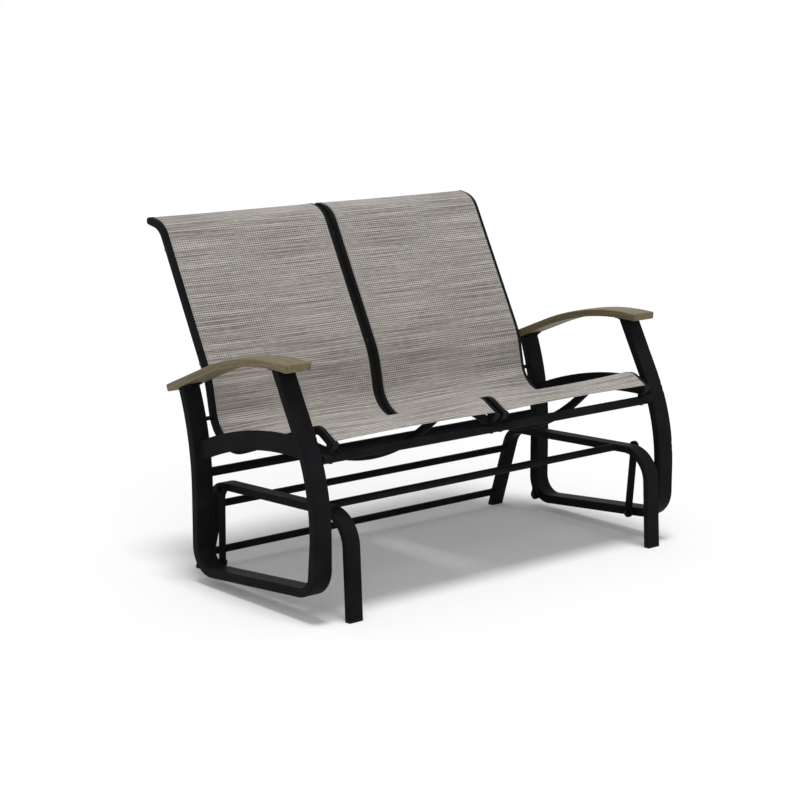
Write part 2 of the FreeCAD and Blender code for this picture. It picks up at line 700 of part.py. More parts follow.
def make_spreader(at, down, drop, radius):
    """Bowed tube between the rails of the right seat, with solid ends and screw holes."""
    first = vec(RAIL_IN_X + RAIL_W / 2, at.y, at.z)
    last = vec(RAIL_OUT_X - RAIL_W / 2, at.y, at.z)
    path = bow_path(first, last, down, drop)
    across = down.cross(vec(1, 0, 0))
    tube = rod_along(path, radius, across)
    tube = tube.cut(rod_along(trimmed(path, SPREADER_PLUG), radius - SPREADER_WALL, across))
    screws = []
    for rail_x, way in ((RAIL_IN_X, -1), (RAIL_OUT_X, 1)):
        outside = rail_x + way * RAIL_W / 2
        tip = rail_x - way * (RAIL_W / 2 + SPREADER_PLUG)
        shank = cylinder_x(outside, tip, at.y, at.z, SPREADER_SCREW_R)
        head = cylinder_x(outside - way * SPREADER_HEAD_T, outside, at.y, at.z, SPREADER_HEAD_R)
        screw = shank.fuse(head)
        tube = tube.cut(screw)
        screws.append(screw)
    return tube, screws


def make_sling():
    """Sling of the right seat: a sheet whose edges turn down into the rails' slots."""
    path = rail_path(SLING_END)
    at, _along, normal = station(path)
    low = SLOT_DEEP + CHANNEL_R - SPLINE_R
    x0, x1 = RAIL_IN_X + SLOT_INSIDE, RAIL_OUT_X - SLOT_INSIDE
    half = SLING_T / 2
    outline = [
        (x0 - half, SLING_LIFT + SLING_T),
        (x1 + half, SLING_LIFT + SLING_T),
        (x1 + half, -low),
        (x1 - half, -low),
        (x1 - half, SLING_LIFT),
        (x0 + half, SLING_LIFT),
        (x0 + half, -low),
        (x0 - half, -low),
    ]
    points = [at + vec(x, 0, 0) + normal * up for x, up in outline]
    return sweep(path, Part.makePolygon(points + points[:1]))


def make_seats():
    """Rails, caps, spreaders, slings and the bolts that join them."""
    spreader_at = (SEAT_BACK[0] - SEAT_SPREADER_Y) / (SEAT_BACK[0] - SEAT_FRONT[0])
    down = vec(0, 0, -1)
    places = {
        "seat_spreader": (SEAT_BACK, SEAT_FRONT, spreader_at, down, SEAT_BOW, SEAT_SPREADER_R)
    }
    for word, (drop, bow) in BACK_SPREADERS.items():
        share = drop / (HEAD[1] - LUMBAR[1])
        places[f"back_spreader_{word}"] = (HEAD, LUMBAR, share, None, bow, BACK_SPREADER_R)
    screws = []
    for name, (start, end, share, down, bow, radius) in places.items():
        at, normal = rail_point(start, end, share, SPREADER_DEPTH)
        tube, pair = make_spreader(at, down or normal * -1, bow, radius)
        save_sides(name, tube)
        screws.extend(pair)
    save_pairs("spreader_screws", screws)

    bolt_y, bolt_z = rail_bolt_place()
    in_x, out_x = RAIL_IN_X, RAIL_OUT_X
    post_bolt = bolt_x(
        out_x - RAIL_W / 2, POST_IN_X + INSERT_L, bolt_y, bolt_z, RAIL_BOLT_R, RAIL_HEAD_R, RAIL_HEAD_T
    )
    post_spacer = ring_x(out_x + RAIL_W / 2, POST_IN_X, bolt_y, bolt_z, RAIL_SPACER_R, RAIL_BOLT_R)
    post_insert = ring_x(POST_IN_X, POST_IN_X + INSERT_L, bolt_y, bolt_z, POST_INSERT_R, RAIL_BOLT_R)
    save_pairs("rail_post_bolts", [post_bolt])
    save_pairs("rail_post_spacers", [post_spacer])
    save_pairs("rail_post_inserts", [post_insert])

    join_share = (SEAT_BACK[0] - JOIN_Y) / (SEAT_BACK[0] - SEAT_FRONT[0])
    front_join, _normal = rail_point(SEAT_BACK, SEAT_FRONT, join_share, JOIN_DEPTH)
    joins, spacers, nuts = [], [], []
    far = in_x + RAIL_W / 2
    for y, z in ((bolt_y, bolt_z), (front_join.y, front_join.z)):
        joins.append(bolt_x(-far, far + RAIL_HEAD_T, y, z, RAIL_BOLT_R, RAIL_HEAD_R, RAIL_HEAD_T))
        spacers.append(ring_x(-CENTRE_GAP / 2, CENTRE_GAP / 2, y, z, RAIL_SPACER_R, RAIL_BOLT_R))
        nut = hex_head_x(far, far + RAIL_HEAD_T, y, z, RAIL_HEAD_R)
        nuts.append(nut.cut(cylinder_x(far, far + RAIL_HEAD_T, y, z, RAIL_BOLT_R)))
    save("rail_joining_bolts", joins)
    save("rail_joining_spacers", spacers)
    save("rail_joining_nuts", nuts)

    lugs, lug_bolts = make_beams()
    save_pairs("front_rail_lugs", lugs)
    save_pairs("front_lug_bolts", lug_bolts)

    inner, _full = make_rail(RIGHT)
    outer, _full = make_rail(LEFT)
    inner.translate(vec(in_x, 0, 0))
    outer.translate(vec(out_x, 0, 0))
    for fastener in screws + [post_bolt] + joins + lug_bolts:
        inner = inner.cut(fastener)
        outer = outer.cut(fastener)
    save_sides("seat_rail_inner", inner)
    save_sides("seat_rail_outer", outer)
    for name, cap in zip(("rail_top_caps", "rail_front_caps"), make_caps()):
        copies = []
        for x in (in_x, out_x):
            copy = cap.copy()
            copy.translate(vec(x, 0, 0))
            copies.append(copy)
        save_pairs(name, copies)

    save_sides("sling", make_sling())
    splines = []
    path, depth = rail_path(SLING_END), SLOT_DEEP + CHANNEL_R
    for shift in (in_x + SLOT_INSIDE, out_x - SLOT_INSIDE):
        splines.append(rod_along(path, SPLINE_R, depth=depth, shift=shift))
    save_pairs("sling_splines", splines)


def make_beams():
    """Cross beams; returns the right side's lugs under the rails' front ends and their bolts."""
    beam_z, middle_y = FRONT_BEAM_Z, FRONT_BEAM_Y + LUG_BACK
    front_wall = FRONT_BEAM_R - BEAM_WALL
    front = ring_x(-POST_IN_X, POST_IN_X, FRONT_BEAM_Y, beam_z, FRONT_BEAM_R, front_wall)
    solid = cylinder_x(-POST_IN_X, POST_IN_X, FRONT_BEAM_Y, beam_z, FRONT_BEAM_R)
    share = (SEAT_FRONT[0] - middle_y) / (SEAT_FRONT[0] - HEM[0])
    face, normal = rail_point(SEAT_FRONT, HEM, share, 0.0)
    under = face.z - RAIL_D / normal.z
    reach = math.dist(HEM, SEAT_FRONT)
    above = bar_along(end_path(HEM, SEAT_FRONT, reach), FAR, FAR, HOLLOW_CORNER, RAIL_D - FAR / 2)
    flat = beam_z - FRONT_BEAM_R + SPOT_DEEP
    bolts, lugs = [], []
    for x in (RAIL_IN_X, RAIL_OUT_X):
        half_w, half_d = LUG_W / 2, LUG_D / 2
        lug = box(x - half_w, x + half_w, middle_y - half_d, middle_y + half_d, beam_z, under + LUG_D)
        foot = vec(x, middle_y, flat)
        shank = Part.makeCylinder(RAIL_BOLT_R, under + LUG_BOLT_TIP - flat, foot)
        head = Part.makeCylinder(RAIL_HEAD_R, RAIL_HEAD_T, foot - vec(0, 0, RAIL_HEAD_T))
        spot = Part.makeCylinder(RAIL_HEAD_R, FRONT_BEAM_R, foot - vec(0, 0, FRONT_BEAM_R))
        lugs.append(lug.cut(solid).cut(above).cut(shank))
        bolts.append(shank.fuse(head))
        for side in SIDES.values():
            front = front.cut(mirrored(shank.fuse(spot), side))
    save("front_cross_beam", [front])
    rear_wall = REAR_BEAM_R - BEAM_WALL
    rear_y = rear_post_y(REAR_BEAM_Z)
    rear = ring_x(-POST_IN_X, POST_IN_X, rear_y, REAR_BEAM_Z, REAR_BEAM_R, rear_wall)
    save("rear_cross_beam", [rear])
    return lugs, bolts


def main():
    """Build every piece and write it."""
    os.makedirs("parts", exist_ok=True)
    pivots = make_pivots()
    make_base(pivots)
    make_links(pivots)
    make_pivot_hardware("upper", [top for top, _low in pivots.values()], BASE_OUT_X, 1)
    make_pivot_hardware("lower", [low for _top, low in pivots.values()], POST_IN_X, -1)
    post = make_arm_frames(pivots)
    make_armrests(post)
    make_seats()


main()
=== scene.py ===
"""Looks of a glider bench with two sling seats, built round its packed construction.

All places are in metres in the construction's own frame: X runs along the bench, -Y is the side
that people face and +Z is up.
"""

import logging
import math
from dataclasses import dataclass
from enum import Enum
from functools import lru_cache
from typing import Any

import bmesh
import bpy
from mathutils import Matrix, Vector
from mathutils.bvhtree import BVHTree


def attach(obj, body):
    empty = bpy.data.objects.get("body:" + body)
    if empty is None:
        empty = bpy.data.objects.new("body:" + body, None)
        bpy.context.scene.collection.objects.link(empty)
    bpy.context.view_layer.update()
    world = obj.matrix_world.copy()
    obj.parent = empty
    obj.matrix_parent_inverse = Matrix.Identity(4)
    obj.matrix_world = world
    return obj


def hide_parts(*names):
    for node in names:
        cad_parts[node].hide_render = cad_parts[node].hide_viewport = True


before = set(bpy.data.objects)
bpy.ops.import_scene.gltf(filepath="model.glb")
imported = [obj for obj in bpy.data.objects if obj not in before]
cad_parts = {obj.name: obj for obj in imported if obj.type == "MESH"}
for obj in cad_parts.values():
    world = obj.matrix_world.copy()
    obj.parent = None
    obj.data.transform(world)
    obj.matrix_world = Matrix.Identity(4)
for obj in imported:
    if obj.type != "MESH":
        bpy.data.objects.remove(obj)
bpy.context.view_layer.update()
LOG = logging.getLogger("bench")
MM = 0.001
ORIGIN_BACK = 93.9 * MM  # how far the frame's origin lies behind the middle of the feet
POLYMER_IOR = 1.5  # refractive index of coat, caps, armrests and sling yarn
RANGE = ("From Min", "From Max", "To Min", "To Max")  # inputs of a node that maps a range
Stops = tuple[tuple[float, str], ...]  # a ramp's places from 0 to 1, with sRGB hex colours


class Side(Enum):
    """Half of the bench, as seen from the front."""

    LEFT = -1
    RIGHT = 1

    @property
    def word(self) -> str:
        """The half's name as node names have it."""
        return self.name.lower()


class Coat(Enum):
    """What dresses a piece of the construction."""

    POWDER = "powder coat"
    OXIDE = "black oxide"
    PLASTIC = "moulded plastic"


# Colour and nodes


def linear(code: str) -> tuple[float, float, float, float]:
    """Turn an sRGB hex colour into linear RGBA.

    Args:
        code: Colour as #rrggbb.

    Returns:
        The linear colour with an alpha of 1.
    """
    values = [int(code[i:i + 2], 16) / 255 for i in (1, 3, 5)]
    red, green, blue = (
        v / 12.92 if v <= 0.04045 else ((v + 0.055) / 1.055) ** 2.4 for v in values
    )
    return red, green, blue, 1.0


def set_stops(ramp: bpy.types.ColorRamp, stops: Stops) -> None:
    """Set the stops of a colour ramp.

    Args:
        ramp: The ramp.
        stops: Its places and colours.
    """
    elements = ramp.elements
    while len(elements) < len(stops):
        elements.new(0.5)
    for element, (place, code) in zip(elements, stops):
        element.position = place
        element.color = linear(code)


def add(
    tree: bpy.types.NodeTree,
    kind: str,
    settings: dict[Any, Any] | None = None,
    links: dict[Any, bpy.types.NodeSocket] | None = None,
) -> bpy.types.Node:
    """Add a node with its settings and links.

    Args:
        tree: Node tree that the node goes into.
        kind: The node's type, such as ShaderNodeMath.
        settings: Values by the node's attribute, or by an input's name or number. The value for
            color_ramp is the ramp's stops.
        links: Output sockets by the name or number of the input that they feed.

    Returns:
        The new node.
    """
    node = tree.nodes.new(kind)
    for name, value in (settings or {}).items():
        if name == "color_ramp":
            set_stops(node.color_ramp, value)
        elif isinstance(name, str) and hasattr(node, name):
            setattr(node, name, value)
        else:
            node.inputs[name].default_value = value
    for name, socket in (links or {}).items():
        tree.links.new(socket, node.inputs[name])
    return node


def new_material(name: str) -> tuple[bpy.types.Material, bpy.types.NodeTree, bpy.types.Node]:
    """Make an empty material with a principled shader.

    Args:
        name: The material's name.

    Returns:
        The material, its node tree and its shader.
    """
    material = bpy.data.materials.new(name)
    material.use_nodes = True
    tree = material.node_tree
    tree.nodes.clear()
    shader = add(tree, "ShaderNodeBsdfPrincipled")
    add(tree, "ShaderNodeOutputMaterial", None, {"Surface": shader.outputs["BSDF"]})
    return material, tree, shader


@dataclass(frozen=True)
class PowderCoat:
    """Black polyester powder coat, baked on aluminium and steel tube.

    It is sprayed dry and melts to a fine orange peel, so highlights are broad and a little grainy.
    """

    name: str = "powder_coat_black"
    tones: Stops = ((0.35, "#141416"), (0.68, "#1b1b1d"))
    grain_mm: float = 1.8  # the real grain of 0.3 mm is too fine to show here
    grain_layers: float = 2.0
    drift_mm: float = 90.0
    drift_layers: float = 3.0
    grain_ends: tuple[float, float] = (0.3, 0.7)  # noise values that give the roughness's ends
    roughness: tuple[float, float] = (0.46, 0.58)
    specular_level: float = 0.025  # the matting agent in the coat scatters most of its gloss
    relief: float = 0.35
    grain_height_mm: float = 0.06

    def make(self) -> bpy.types.Material:
        """Build the material.

        Returns:
            The material.
        """
        material, tree, shader = new_material(self.name)
        at = {"Vector": add(tree, "ShaderNodeTexCoord").outputs["Object"]}
        fine = {"Scale": 1000 / self.grain_mm, "Detail": self.grain_layers}
        grain = add(tree, "ShaderNodeTexNoise", fine, at).outputs["Fac"]
        broad = {"Scale": 1000 / self.drift_mm, "Detail": self.drift_layers}
        drift = add(tree, "ShaderNodeTexNoise", broad, at).outputs["Fac"]
        colour = add(tree, "ShaderNodeValToRGB", {"color_ramp": self.tones}, {"Fac": drift})
        tree.links.new(colour.outputs["Color"], shader.inputs["Base Color"])
        ends = dict(zip(RANGE, self.grain_ends + self.roughness))
        gloss = add(tree, "ShaderNodeMapRange", ends, {"Value": grain})
        tree.links.new(gloss.outputs["Result"], shader.inputs["Roughness"])
        peel = {"Strength": self.relief, "Distance": self.grain_height_mm * MM}
        bump = add(tree, "ShaderNodeBump", peel, {"Height": grain})
        tree.links.new(bump.outputs["Normal"], shader.inputs["Normal"])
        shader.inputs["IOR"].default_value = POLYMER_IOR
        shader.inputs["Specular IOR Level"].default_value = self.specular_level
        return material


@dataclass(frozen=True)
class BlackOxide:
    """Black-oxide steel of the bolts, pins and washers.

    It is dipped, so machined marks still show through as a streaky, half-dull sheen.
    """

    name: str = "black_oxide_steel"
    tones: Stops = ((0.35, "#1a1a1b"), (0.65, "#2a2a2c"))
    mark_mm: float = 1.2
    mark_layers: float = 3.0
    roughness: tuple[float, float] = (0.32, 0.5)
    relief: float = 0.2
    mark_height_mm: float = 0.03

    def make(self) -> bpy.types.Material:
        """Build the material.

        Returns:
            The material.
        """
        material, tree, shader = new_material(self.name)
        at = {"Vector": add(tree, "ShaderNodeTexCoord").outputs["Object"]}
        fine = {"Scale": 1000 / self.mark_mm, "Detail": self.mark_layers}
        marks = add(tree, "ShaderNodeTexNoise", fine, at).outputs["Fac"]
        colour = add(tree, "ShaderNodeValToRGB", {"color_ramp": self.tones}, {"Fac": marks})
        tree.links.new(colour.outputs["Color"], shader.inputs["Base Color"])
        low, high = self.roughness
        gloss = add(tree, "ShaderNodeMapRange", {"To Min": low, "To Max": high}, {"Value": marks})
        tree.links.new(gloss.outputs["Result"], shader.inputs["Roughness"])
        scratches = {"Strength": self.relief, "Distance": self.mark_height_mm * MM}
        bump = add(tree, "ShaderNodeBump", scratches, {"Height": marks})
        tree.links.new(bump.outputs["Normal"], shader.inputs["Normal"])
        shader.inputs["Metallic"].default_value = 1.0
        return material


@dataclass(frozen=True)
class MouldedPlastic:
    """Injection-moulded black polyethylene of the caps and bushes.

    The mould is spark-eroded, which leaves a soft, even matt with hardly any highlight.
    """

    name: str = "moulded_polyethylene_black"
    tones: Stops = ((0.1, "#0b0b0c"), (0.7, "#131314"))
    grain_mm: float = 1.1
    roughness: float = 0.6
    specular_level: float = 0.1  # spark erosion leaves pits that swallow most of the gloss
    relief: float = 0.3
    grain_height_mm: float = 0.04

    def make(self) -> bpy.types.Material:
        """Build the material.

        Returns:
            The material.
        """
        material, tree, shader = new_material(self.name)
        at = {"Vector": add(tree, "ShaderNodeTexCoord").outputs["Object"]}
        soft = {"Scale": 1000 / self.grain_mm, "feature": "SMOOTH_F1"}
        grain = add(tree, "ShaderNodeTexVoronoi", soft, at).outputs["Distance"]
        colour = add(tree, "ShaderNodeValToRGB", {"color_ramp": self.tones}, {"Fac": grain})
        tree.links.new(colour.outputs["Color"], shader.inputs["Base Color"])
        pits = {"Strength": self.relief, "Distance": self.grain_height_mm * MM}
        bump = add(tree, "ShaderNodeBump", pits, {"Height": grain})
        tree.links.new(bump.outputs["Normal"], shader.inputs["Normal"])
        shader.inputs["Roughness"].default_value = self.roughness
        shader.inputs["IOR"].default_value = POLYMER_IOR
        shader.inputs["Specular IOR Level"].default_value = self.specular_level
        return material


@dataclass(frozen=True)
class GrainedPolymer:
    """High-density polyethylene lumber with a brushed wood grain, in weathered brown grey.

    It is extruded and wire-brushed along its length, which gives long shallow furrows, streaks of
    paler and darker brown, and a soft satin gleam along them.
    """

    name: str = "grained_polymer_lumber"
    tones: Stops = ((0.3, "#473f2e"), (0.4, "#584f3a"), (0.52, "#6e644a"), (0.66, "#827757"))
    streak_mm: tuple[float, float] = (150.0, 3.6)  # length and width of a streak
    fibre_mm: tuple[float, float] = (28.0, 0.9)
    fibre_share: float = 0.4  # the rest of the pattern is streaks
    layers: float = 4.0
    layer_weight: float = 0.55  # of each finer layer against the one before
    wander: float = 0.25  # how far the grain strays from a straight line
    tone_ends: tuple[float, float] = (0.35, 0.65)  # pattern values of furrows and ridges
    roughness: tuple[float, float] = (0.64, 0.46)  # of furrows and ridges
    specular_level: float = 0.25  # brushing roughens the skin and scatters half of its gloss
    relief: float = 0.5
    furrow_height_mm: float = 0.25

    def make(self) -> bpy.types.Material:
        """Build the material, whose map has the armrest's length as its first coordinate.

        Returns:
            The material.
        """
        material, tree, shader = new_material(self.name)
        at = add(tree, "ShaderNodeUVMap", {"uv_map": "grain"}).outputs["UV"]
        wavy = {
            "Scale": 1.0,
            "Detail": self.layers,
            "Roughness": self.layer_weight,
            "Distortion": self.wander,
        }
        fields = []
        for length, width in (self.streak_mm, self.fibre_mm):
            long = {"operation": "MULTIPLY", 1: (1000 / length, 1000 / width, 1.0)}
            place = add(tree, "ShaderNodeVectorMath", long, {0: at}).outputs["Vector"]
            fields.append(add(tree, "ShaderNodeTexNoise", wavy, {"Vector": place}).outputs["Fac"])
        streaks, fibres = fields
        mix = {"data_type": "FLOAT", 0: self.fibre_share}
        tone = add(tree, "ShaderNodeMix", mix, {2: streaks, 3: fibres}).outputs[0]
        colour = add(tree, "ShaderNodeValToRGB", {"color_ramp": self.tones}, {"Fac": tone})
        tree.links.new(colour.outputs["Color"], shader.inputs["Base Color"])
        ends = dict(zip(RANGE, self.tone_ends + self.roughness))
        gloss = add(tree, "ShaderNodeMapRange", ends, {"Value": tone})
        tree.links.new(gloss.outputs["Result"], shader.inputs["Roughness"])
        furrows = {"Strength": self.relief, "Distance": self.furrow_height_mm * MM}
        bump = add(tree, "ShaderNodeBump", furrows, {"Height": tone})
        tree.links.new(bump.outputs["Normal"], shader.inputs["Normal"])
        shader.inputs["IOR"].default_value = POLYMER_IOR
        shader.inputs["Specular IOR Level"].default_value = self.specular_level
        return material


@dataclass(frozen=True)
class WovenSling:
    """Sling cloth of vinyl-coated polyester yarn, woven in a dobby pattern.

    Weft yarns in several warm greys run across the seat and show as fine broken streaks. Rows of
    small pale floats cross them, and the coating gives a faint sheen over a matt ground.
    """

    name: str = "vinyl_coated_sling_cloth"
    tones: Stops = ((0.39, "#5a5550"), (0.46, "#77716b"), (0.54, "#908a84"), (0.61, "#aea8a2"))
    float_tone: str = "#e6e2dc"
    yarn_mm: float = 1.6  # the real weft pitch of 0.8 mm is too fine to show here
    float_mm: float = 7.4  # the real floats of about 3 mm are too fine to show here
    float_rows_mm: float = 5.8  # from row to row, drawn coarser for the same reason
    float_ends: tuple[float, float] = (-0.1, 0.4)  # of the wave along a row, from none to full
    row_ends: tuple[float, float] = (0.0, 0.5)  # of the wave across the rows
    thin_ends: tuple[float, ...] = (0.42, 0.54, 0.15, 1.0)  # streak values and what they let show
    streaks_mm: tuple[tuple[float, float], ...] = ((520.0, 6.0), (300.0, 1.9), (26.0, 1.7))
    streak_layers: float = 2.0
    weights: tuple[float, ...] = (0.1, 0.5, 0.4)
    relief: float = 0.3
    yarn_height_mm: float = 0.2
    roughness: float = 0.72
    sheen: float = 0.12
    sheen_roughness: float = 0.5

    def streaks(
        self, tree: bpy.types.NodeTree, at: bpy.types.NodeSocket
    ) -> list[bpy.types.NodeSocket]:
        """Noise fields stretched along the weft, from the broad ones to the fine ones.

        Args:
            tree: The material's node tree.
            at: Place on the cloth.

        Returns:
            One field for each length and width of a streak.
        """
        plain = {"Scale": 1.0, "Detail": self.streak_layers}
        fields = []
        for length, width in self.streaks_mm:
            long = {"operation": "MULTIPLY", 1: (1000 / length, 1000 / width, 1.0)}
            place = add(tree, "ShaderNodeVectorMath", long, {0: at}).outputs["Vector"]
            fields.append(add(tree, "ShaderNodeTexNoise", plain, {"Vector": place}).outputs["Fac"])
        return fields

    def wave(
        self, tree: bpy.types.NodeTree, place: bpy.types.NodeSocket, pitch_mm: float
    ) -> bpy.types.NodeSocket:
        """Sine of a place on the cloth.

        Args:
            tree: The material's node tree.
            place: Place along one yarn direction, in metres.
            pitch_mm: Length of one wave in millimetres.

        Returns:
            The wave, from -1 to 1.
        """
        scale = {"operation": "MULTIPLY", 1: 2 * math.pi / (pitch_mm * MM)}
        turn = add(tree, "ShaderNodeMath", scale, {0: place}).outputs[0]
        return add(tree, "ShaderNodeMath", {"operation": "SINE"}, {0: turn}).outputs[0]

    def floats(
        self, tree: bpy.types.NodeTree, axes: bpy.types.Node, breaks: bpy.types.NodeSocket
    ) -> bpy.types.NodeSocket:
        """Where the rows of small pale floats show, from 0 to 1.

        Args:
            tree: The material's node tree.
            axes: Node whose outputs X and Y are the place on the cloth.
            breaks: Field that thins the rows out here and there.

        Returns:
            Share of the floats' colour.
        """
        fields = (
            (self.float_ends, self.wave(tree, axes.outputs["X"], self.float_mm)),
            (self.row_ends, self.wave(tree, axes.outputs["Y"], self.float_rows_mm)),
            (self.thin_ends, breaks),
        )
        along, across, thinned = (
            add(tree, "ShaderNodeMapRange", dict(zip(RANGE, ends)), {"Value": field}).outputs[0]
            for ends, field in fields
        )
        times = {"operation": "MULTIPLY"}
        both = add(tree, "ShaderNodeMath", times, {0: along, 1: across}).outputs[0]
        return add(tree, "ShaderNodeMath", times, {0: both, 1: thinned}).outputs[0]

    def make(self) -> bpy.types.Material:
        """Build the material, whose map has the seat's width as its first coordinate.

        Returns:
            The material.
        """
        material, tree, shader = new_material(self.name)
        at = add(tree, "ShaderNodeUVMap", {"uv_map": "cloth"}).outputs["UV"]
        fields = self.streaks(tree, at)
        times, plus = {"operation": "MULTIPLY"}, {"operation": "ADD"}
        total, *parts = (
            add(tree, "ShaderNodeMath", {**times, 1: weight}, {0: field}).outputs[0]
            for field, weight in zip(fields, self.weights)
        )
        for part in parts:
            total = add(tree, "ShaderNodeMath", plus, {0: total, 1: part}).outputs[0]
        ground = add(tree, "ShaderNodeValToRGB", {"color_ramp": self.tones}, {"Fac": total})
        axes = add(tree, "ShaderNodeSeparateXYZ", None, {"Vector": at})
        pale = {"data_type": "RGBA", 7: linear(self.float_tone)}
        share = self.floats(tree, axes, fields[1])
        mixed = add(tree, "ShaderNodeMix", pale, {0: share, 6: ground.outputs["Color"]})
        tree.links.new(mixed.outputs[2], shader.inputs["Base Color"])
        warp = self.wave(tree, axes.outputs["X"], self.yarn_mm)
        weft = self.wave(tree, axes.outputs["Y"], self.yarn_mm)
        weave = add(tree, "ShaderNodeMath", times, {0: warp, 1: weft}).outputs[0]
        height = add(tree, "ShaderNodeMath", plus, {0: weave, 1: total}).outputs[0]
        yarns = {"Strength": self.relief, "Distance": self.yarn_height_mm * MM}
        bump = add(tree, "ShaderNodeBump", yarns, {"Height": height})
        tree.links.new(bump.outputs["Normal"], shader.inputs["Normal"])
        shader.inputs["Roughness"].default_value = self.roughness
        shader.inputs["IOR"].default_value = POLYMER_IOR
        shader.inputs["Sheen Weight"].default_value = self.sheen
        shader.inputs["Sheen Roughness"].default_value = self.sheen_roughness
        return material


# Lines of the side view


@dataclass(frozen=True)
class Station:
    """A point of a side-view line, with the line's direction there."""

    y: float
    z: float
    along_y: float
    along_z: float

    def point(self, x: float, lift: float) -> Vector:
        """Point at an x, raised by lift on the line's front side."""
        return Vector((x, self.y + self.along_z * lift, self.z - self.along_y * lift))


@dataclass(frozen=True)
class SideLine:
    """Line of straights and arcs in the side view, in millimetres from the middle of the feet."""

    corners: tuple[tuple[float, float], ...]
    bends: tuple[float, ...]

    @lru_cache
    def stretches(self) -> tuple[tuple[str, tuple[float, ...], float], ...]:
        """Work out the line's straights and arcs.

        Returns:
            Each one in order, with its kind, its sizes and its length in millimetres.
        """
        found: list[tuple[str, tuple[float, ...], float]] = []
        start = Vector(self.corners[0])
        for i, radius in enumerate(self.bends):
            corner, after = Vector(self.corners[i + 1]), Vector(self.corners[i + 2])
            back, ahead = (start - corner).normalized(), (after - corner).normalized()
            half = back.angle(ahead) / 2
            reach = radius / math.tan(half)
            first = corner + back * reach
            centre = corner + (back + ahead).normalized() * (radius / math.sin(half))
            found.append(("line", (*start, *first), (first - start).length))
            turn = math.pi - 2 * half
            left = back.x * ahead.y - back.y * ahead.x
            way = -1.0 if left > 0 else 1.0
            from_centre = first - centre
            angle = math.atan2(from_centre.y, from_centre.x)
            found.append(("arc", (*centre, radius, angle, way * turn), radius * turn))
            start = corner + ahead * reach
        end = Vector(self.corners[-1])
        found.append(("line", (*start, *end), (end - start).length))
        return tuple(found)

    def length(self) -> float:
        """Whole length in metres."""
        return sum(stretch[2] for stretch in self.stretches()) * MM

    def bend_places(self) -> list[float]:
        """Find the bends.

        Returns:
            Length from the start to the middle of each bend, in metres.
        """
        places, passed = [], 0.0
        for kind, _values, length in self.stretches():
            if kind == "arc":
                places.append((passed + length / 2) * MM)
            passed += length
        return places

    def at(self, length: float) -> Station:
        """Find a place along the line.

        Args:
            length: Length from the start, in metres.

        Returns:
            The station there.
        """
        left = length / MM
        *inner, last = self.stretches()
        for stretch in inner:
            if left <= stretch[2]:
                break
            left -= stretch[2]
        else:
            stretch = last
        kind, values, reach = stretch
        if kind == "line":
            first, last = Vector(values[:2]), Vector(values[2:])
            along = (last - first).normalized()
            place = first + along * left
        else:
            centre_y, centre_z, radius, angle, turn = values
            now = angle + turn * left / reach
            place = Vector((centre_y + radius * math.cos(now), centre_z + radius * math.sin(now)))
            way = 1.0 if turn > 0 else -1.0
            along = Vector((-math.sin(now), math.cos(now))) * way
        return Station(place.x * MM - ORIGIN_BACK, place.y * MM, along.x, along.y)


def shade_smooth(mesh: bpy.types.Mesh) -> None:
    """Shade all faces of a mesh smooth."""
    for polygon in mesh.polygons:
        polygon.use_smooth = True


def new_piece(
    name: str, mesh: bpy.types.Mesh, body: str, material: bpy.types.Material
) -> bpy.types.Object:
    """Make a piece from a mesh, dress it and let it ride on a body.

    Args:
        name: The piece's name.
        mesh: Its mesh, in the construction's frame.
        body: The body that it rides on.
        material: Its finish.

    Returns:
        The new object.
    """
    piece = bpy.data.objects.new(name, mesh)
    bpy.context.scene.collection.objects.link(piece)
    mesh.materials.clear()
    mesh.materials.append(material)
    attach(piece, body)
    return piece


# Sub-assemblies


